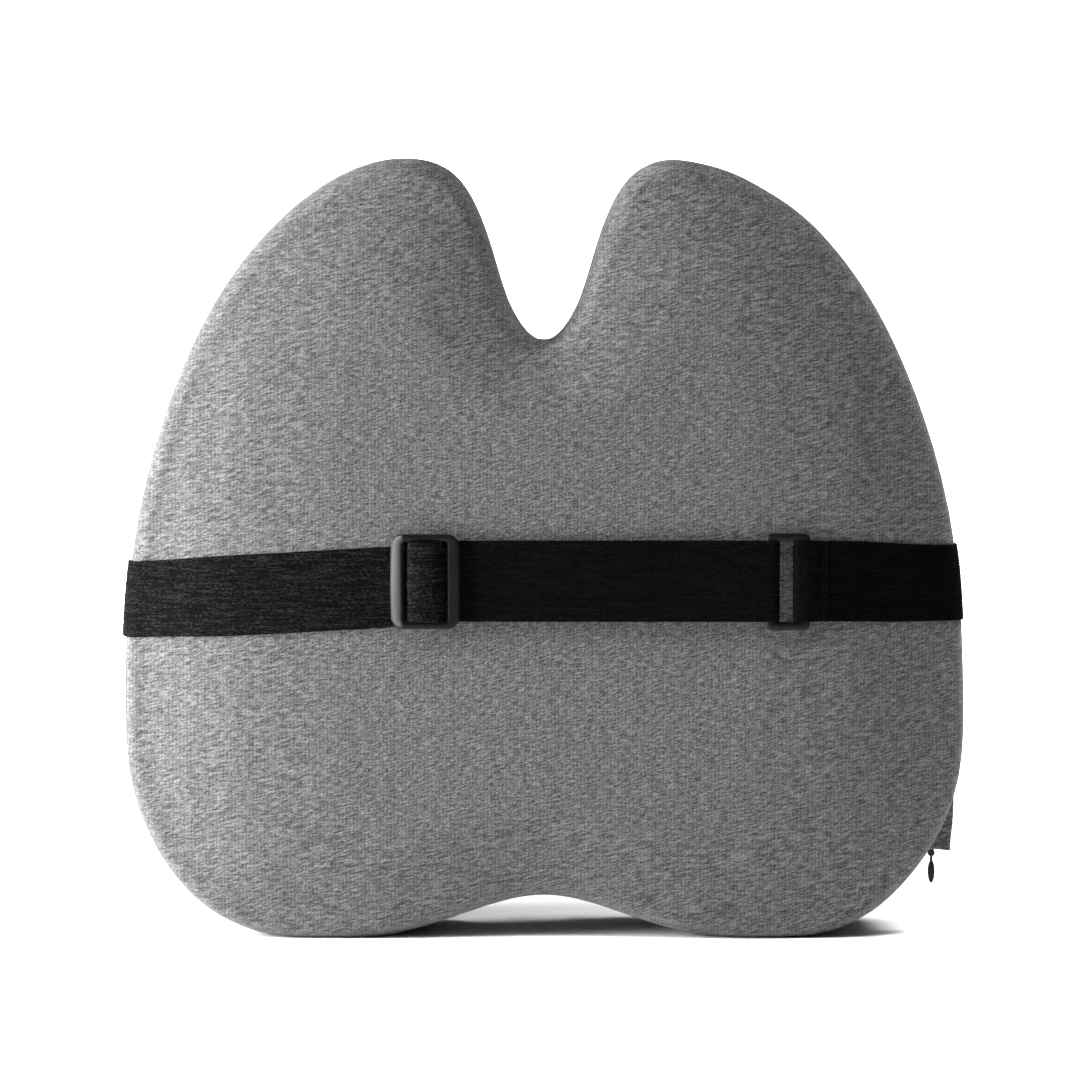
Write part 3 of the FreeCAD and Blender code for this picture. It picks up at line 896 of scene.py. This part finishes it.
def stitches(name, cad, rides_on):
    """Two rows of short rounded stitches, where the CAD has them."""
    (x0, y0, z0), (x1, y1, z1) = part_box(cad)
    rows = 12
    pitch = (z1 - z0 - 2 * MM) / (rows - 1)
    parts = []
    for x in (x0 + 0.25 * MM, x1 - 0.25 * MM):
        for i in range(rows):
            low = z0 + i * pitch
            parts.append(rod("s", low, low + 2 * MM, 0.26 * MM, 0.16 * MM, x, (y0 + y1) / 2 + 0.03 * MM, 1.0, 6, 8,
                             lambda t: max(math.sin(math.pi * (0.12 + 0.76 * t)), 0.2)))
    piece = joined(name, parts)
    piece.data.materials.append(THREAD)
    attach(piece, rides_on)
    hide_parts(cad)


stitches("ring_fold_sewing", "ring_fold_stitches", "ring")
stitches("adjuster_fold_sewing", "glide_fold_stitches", "adjuster")


# ---------------------------------------------------------------- zip

def tape_material():
    mat, tree, shader = material("zip_tape")
    weave = node(tree, "ShaderNodeTexWave", Scale=1.0, Distortion=0.4)
    weave.bands_direction = "Z"
    tree.links.new(mapped(tree, (420, 420, 420)), weave.inputs["Vector"])
    tone = ramp(tree, weave.outputs["Fac"], [(0.0, grey(0.07)), (1.0, grey(0.16))])
    tree.links.new(tone, shader.inputs["Base Color"])
    shader.inputs["Roughness"].default_value = 0.9
    bump(tree, shader, weave.outputs["Fac"], 0.5, 0.0002)
    return mat


TAPE = tape_material()
COIL = plastic_material("zip_coil", 0.07, 0.45)
METAL = plastic_material("black_metal", 0.003, 0.3)


def zip_fold(side, cad, name):
    """Edge of the cover folded round the zip tape: a soft double layer with a thicker hem at its end."""
    (x0, y0, z0), (x1, y1, z1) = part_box(cad)
    near = ZIP_Y + side * 2.8 * MM
    far = ZIP_Y + side * 5.6 * MM
    levels = np.linspace(0, 1, 90)
    outs = [(40.6, 205.3), (65, 206.7), (95, 206.4), (175, 205.9), (195, 202.3), (206.8, 199.3)]
    verts = []
    count = 0
    for t in levels:
        z = z0 + (z1 - z0) * t
        out = np.interp(z / MM, [o[0] for o in outs], [o[1] for o in outs]) * MM
        out += 0.25 * MM * math.sin(z / (9 * MM)) + 0.15 * MM * math.sin(z / (3.7 * MM) + side)
        hem = 0.35 * MM * (1 - smoothstep(z - z0, 3.4 * MM, 4.6 * MM)) - 0.3 * MM * math.exp(-((z - z0 - 4.9 * MM) / (0.7 * MM)) ** 2)
        half = abs(far - near) / 2 + hem
        mid = (near + far) / 2
        profile = []
        inner = x0 + 3.3 * MM
        step_in = x0 + 6.8 * MM
        edge = out - half
        for x in np.linspace(inner, edge, 7):
            profile.append((x, mid + side * half))
        for angle in np.linspace(math.pi / 2, -math.pi / 2, 9)[1:-1]:
            profile.append((edge + half * math.cos(angle), mid + side * half * math.sin(angle)))
        for x in np.linspace(edge, step_in, 6):
            profile.append((x, mid - side * half))
        profile.append((step_in, mid + side * half * 0.35))
        profile.append((inner, mid + side * half * 0.35))
        count = len(profile)
        slant = 1 - smoothstep(t, 0.0, 0.06)
        for x, y in profile:
            rise = 1.7 * MM * (1 - (x - inner) / (out - inner)) * slant
            verts.append((x, y, z + rise))
    faces = []
    for i in range(len(levels) - 1):
        for k in range(count):
            a = i * count + k
            b = i * count + (k + 1) % count
            quad = (a, b, b + count, a + count)
            faces.append(quad if side > 0 else quad[::-1])
    low_cap = tuple(range(count))
    high_cap = tuple(range((len(levels) - 1) * count, len(levels) * count))
    faces.append(low_cap[::-1] if side > 0 else low_cap)
    faces.append(high_cap if side > 0 else high_cap[::-1])
    piece = new_object(name, verts, faces)
    piece.data.materials.append(KNIT)
    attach(piece, ROOT)
    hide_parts(cad)


def zip_coil(side, cad, name):
    """One row of the coil: a core with a tooth every 1.4 mm."""
    (x0, y0, z0), (x1, y1, z1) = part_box(cad)
    mid_x, mid_y = (x0 + x1) / 2, (y0 + y1) / 2
    parts = [rod("core", z0, z1, 0.55 * MM, 0.6 * MM, mid_x, mid_y + side * 0.3 * MM, 1.0, 8, 10)]
    pitch = 1.4 * MM
    low = z0 + (0.35 if side < 0 else 1.05) * MM
    while low + 0.7 * MM < z1:
        parts.append(rod("tooth", low, low + 0.75 * MM, (x1 - x0) / 2, (y1 - y0) / 2, mid_x, mid_y, 0.8, 4, 10,
                         lambda t: 0.75 + 0.25 * math.sin(math.pi * t)))
        low += pitch
    piece = joined(name, parts)
    piece.data.materials.append(COIL)
    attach(piece, ROOT)
    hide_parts(cad)


def bevelled(cad, name, mat, rides_on, width):
    """The CAD shape with its sharp edges eased."""
    obj = bpy.data.objects.new(name, bpy.data.objects[cad].data.copy())
    bpy.context.scene.collection.objects.link(obj)
    form = bmesh.new()
    form.from_mesh(obj.data)
    bmesh.ops.remove_doubles(form, verts=form.verts, dist=1e-6)
    bmesh.ops.dissolve_limit(form, angle_limit=math.radians(2), verts=form.verts, edges=form.edges)
    form.to_mesh(obj.data)
    form.free()
    modified(obj, "BEVEL", width=width, segments=2, limit_method="ANGLE")
    obj.data.materials.clear()
    obj.data.materials.append(mat)
    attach(obj, rides_on)
    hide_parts(cad)
    return obj


def zip_pull():
    """Cast drop with a round eye, thickest along its middle."""
    (x0, y0, z0), (x1, y1, z1) = PULL
    eye_x, eye_z = (x0 + x1) / 2, z1 - 1.8 * MM
    mid_y = (y0 + y1) / 2
    verts, faces = [], []
    turns, rounds = 28, 10
    for i in range(turns):
        angle = 2 * math.pi * i / turns
        for k in range(rounds):
            round_angle = 2 * math.pi * k / rounds
            reach = 1.19 * MM + 0.6 * MM * math.cos(round_angle)
            verts.append((eye_x + reach * math.sin(angle), mid_y + 0.5 * MM * math.sin(round_angle), eye_z + reach * math.cos(angle)))
    for i in range(turns):
        for k in range(rounds):
            a, b = i * rounds + k, i * rounds + (k + 1) % rounds
            c, d = ((i + 1) % turns) * rounds + (k + 1) % rounds, ((i + 1) % turns) * rounds + k
            faces.append((a, b, c, d))
    eye = new_object("eye", verts, faces)

    def size(t):
        z = t * 1.0
        drop = math.sqrt(max(1 - ((z - 0.42) / 0.42) ** 2, 0)) if z < 0.84 else 0.0
        return max(drop * 1.0, 0.38 if z > 0.6 else 0.0, 0.05)

    blade = rod("blade", z0, eye_z - 1.3 * MM, 1.75 * MM, 0.5 * MM, eye_x, mid_y, 0.9, 40, 16, size)
    piece = joined("zip_drop", [eye, blade])
    piece.data.materials.append(METAL)
    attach(piece, "pull")
    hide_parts("zip_pull")


zip_fold(-1, "zip_fold_back", "fold_back")
zip_fold(1, "zip_fold_front", "fold_front")
zip_coil(-1, "zip_coil_back", "coil_back")
zip_coil(1, "zip_coil_front", "coil_front")
bevelled("zip_slider", "slider_body", METAL, "slider", 0.25 * MM)
for end in ("top", "bottom"):
    bevelled("zip_" + end + "_stop", end + "_stop", COIL, ROOT, 0.1 * MM)
for end in ("back", "front"):
    bevelled("zip_tape_" + end, "tape_" + end, TAPE, ROOT, 0.1 * MM)
zip_pull()
